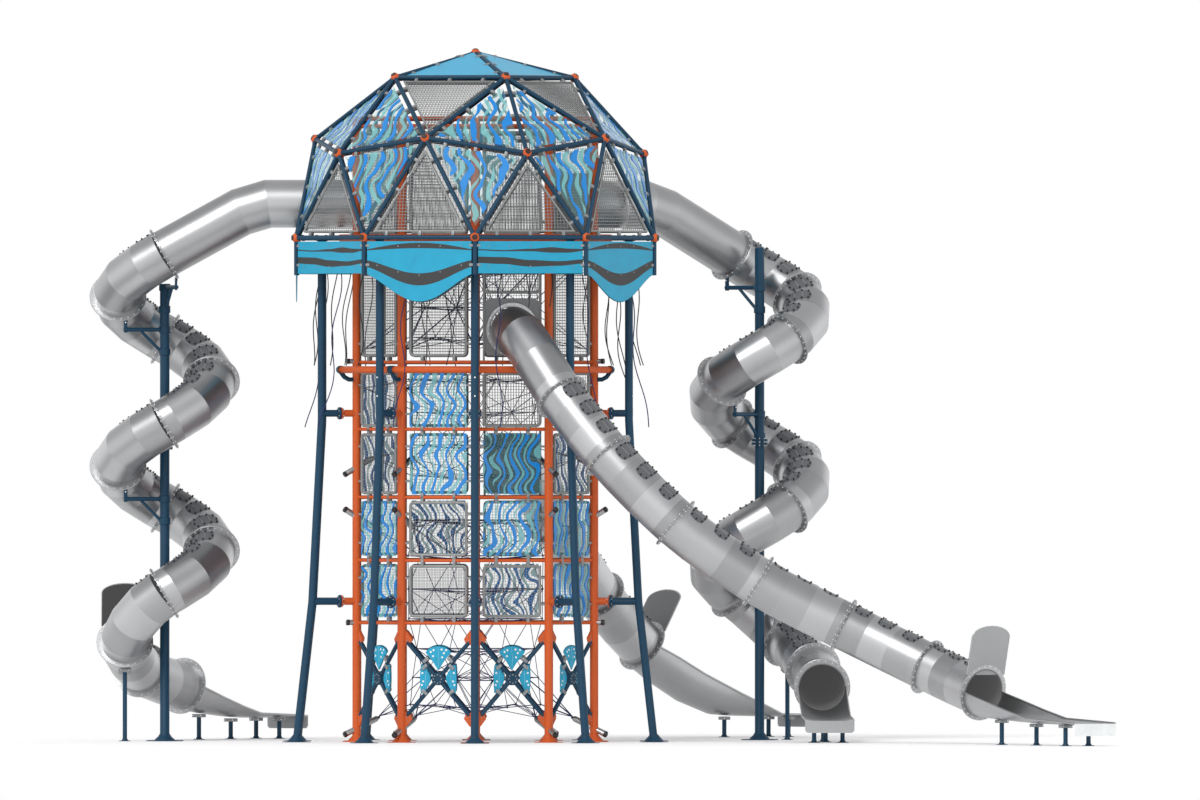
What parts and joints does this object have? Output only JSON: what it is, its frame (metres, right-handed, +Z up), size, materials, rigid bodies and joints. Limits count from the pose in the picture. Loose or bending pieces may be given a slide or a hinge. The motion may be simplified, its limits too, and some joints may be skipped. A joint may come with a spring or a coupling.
{
  "type": "playground tower with tube slides",
  "caption": "Tall play tower with mesh and board sides under a faceted dome, an inner climbing net, hanging ropes, and spiral and curved steel tube slides.",
  "frame": {"origin": "middle of the footprint's bounding box, at ground level; the tower axis stands at x -2.065, y -0.346", "axes": "+Z up; -Y is the front, the side that the picture shows; +X is to the right in that view"},
  "size_m": [17.0434, 16.3049, 11.578],
  "materials": {
    "orange_powder_coat": "orange powder coat, satin",
    "blue_powder_coat": "dark steel-blue powder coat, satin",
    "grey_panel_frame": "grey powder coat on mesh frames and rails",
    "light_blue_board": "light blue solid plastic board with pale and dark waves",
    "black_deck": "black anti-slip deck",
    "satin_stainless": "satin stainless steel sheet",
    "navy_rope": "navy stranded rope"
  },
  "bodies": {
    "root": {"tower_post_01": "orange_powder_coat", "tower_post_02": "orange_powder_coat", "tower_post_03": "orange_powder_coat", "tower_post_04": "orange_powder_coat", "tower_post_05": "orange_powder_coat", "tower_post_06": "orange_powder_coat", "tower_post_07": "orange_powder_coat", "tower_post_08": "orange_powder_coat", "tower_post_09": "orange_powder_coat", "tower_post_10": "orange_powder_coat", "outer_leg_01": "blue_powder_coat", "outer_leg_02": "blue_powder_coat", "outer_leg_03": "blue_powder_coat", "outer_leg_04": "blue_powder_coat", "outer_leg_05": "blue_powder_coat", "outer_leg_06": "blue_powder_coat", "outer_leg_07": "blue_powder_coat", "outer_leg_08": "blue_powder_coat", "outer_leg_09": "blue_powder_coat", "outer_leg_10": "blue_powder_coat", "tower_side_01": "grey_panel_frame", "tower_side_02": "grey_panel_frame", "tower_side_03": "grey_panel_frame", "tower_side_04": "grey_panel_frame", "tower_side_05": "grey_panel_frame", "tower_side_06": "grey_panel_frame", "tower_side_07": "grey_panel_frame", "tower_side_08": "grey_panel_frame", "tower_side_09": "grey_panel_frame", "tower_side_10": "grey_panel_frame", "lower_deck": "black_deck", "middle_deck": "black_deck", "upper_deck": "black_deck", "lower_ring_beam": "orange_powder_coat", "dome_support_ring": "orange_powder_coat", "dome_frame": "blue_powder_coat", "dome_roof_panels": "light_blue_board", "dome_upper_panels": "light_blue_board", "dome_lower_panels": "grey_panel_frame", "dome_skirt": "light_blue_board", "left_spiral_entry": "satin_stainless", "left_spiral_upper_turn": "satin_stainless", "left_spiral_lower_turn": "satin_stainless", "left_spiral_exit": "satin_stainless", "left_spiral_pole": "blue_powder_coat", "right_spiral_entry": "satin_stainless", "right_spiral_upper_turn": "satin_stainless", "right_spiral_lower_turn": "satin_stainless", "right_spiral_exit": "satin_stainless", "right_spiral_pole": "blue_powder_coat", "front_slide_entry": "satin_stainless", "front_slide_middle": "satin_stainless", "front_slide_exit": "satin_stainless", "back_slide_entry": "satin_stainless", "back_slide_exit": "satin_stainless", "climbing_net": "navy_rope", "hanging_ropes": "navy_rope"}
  },
  "joints": []
}
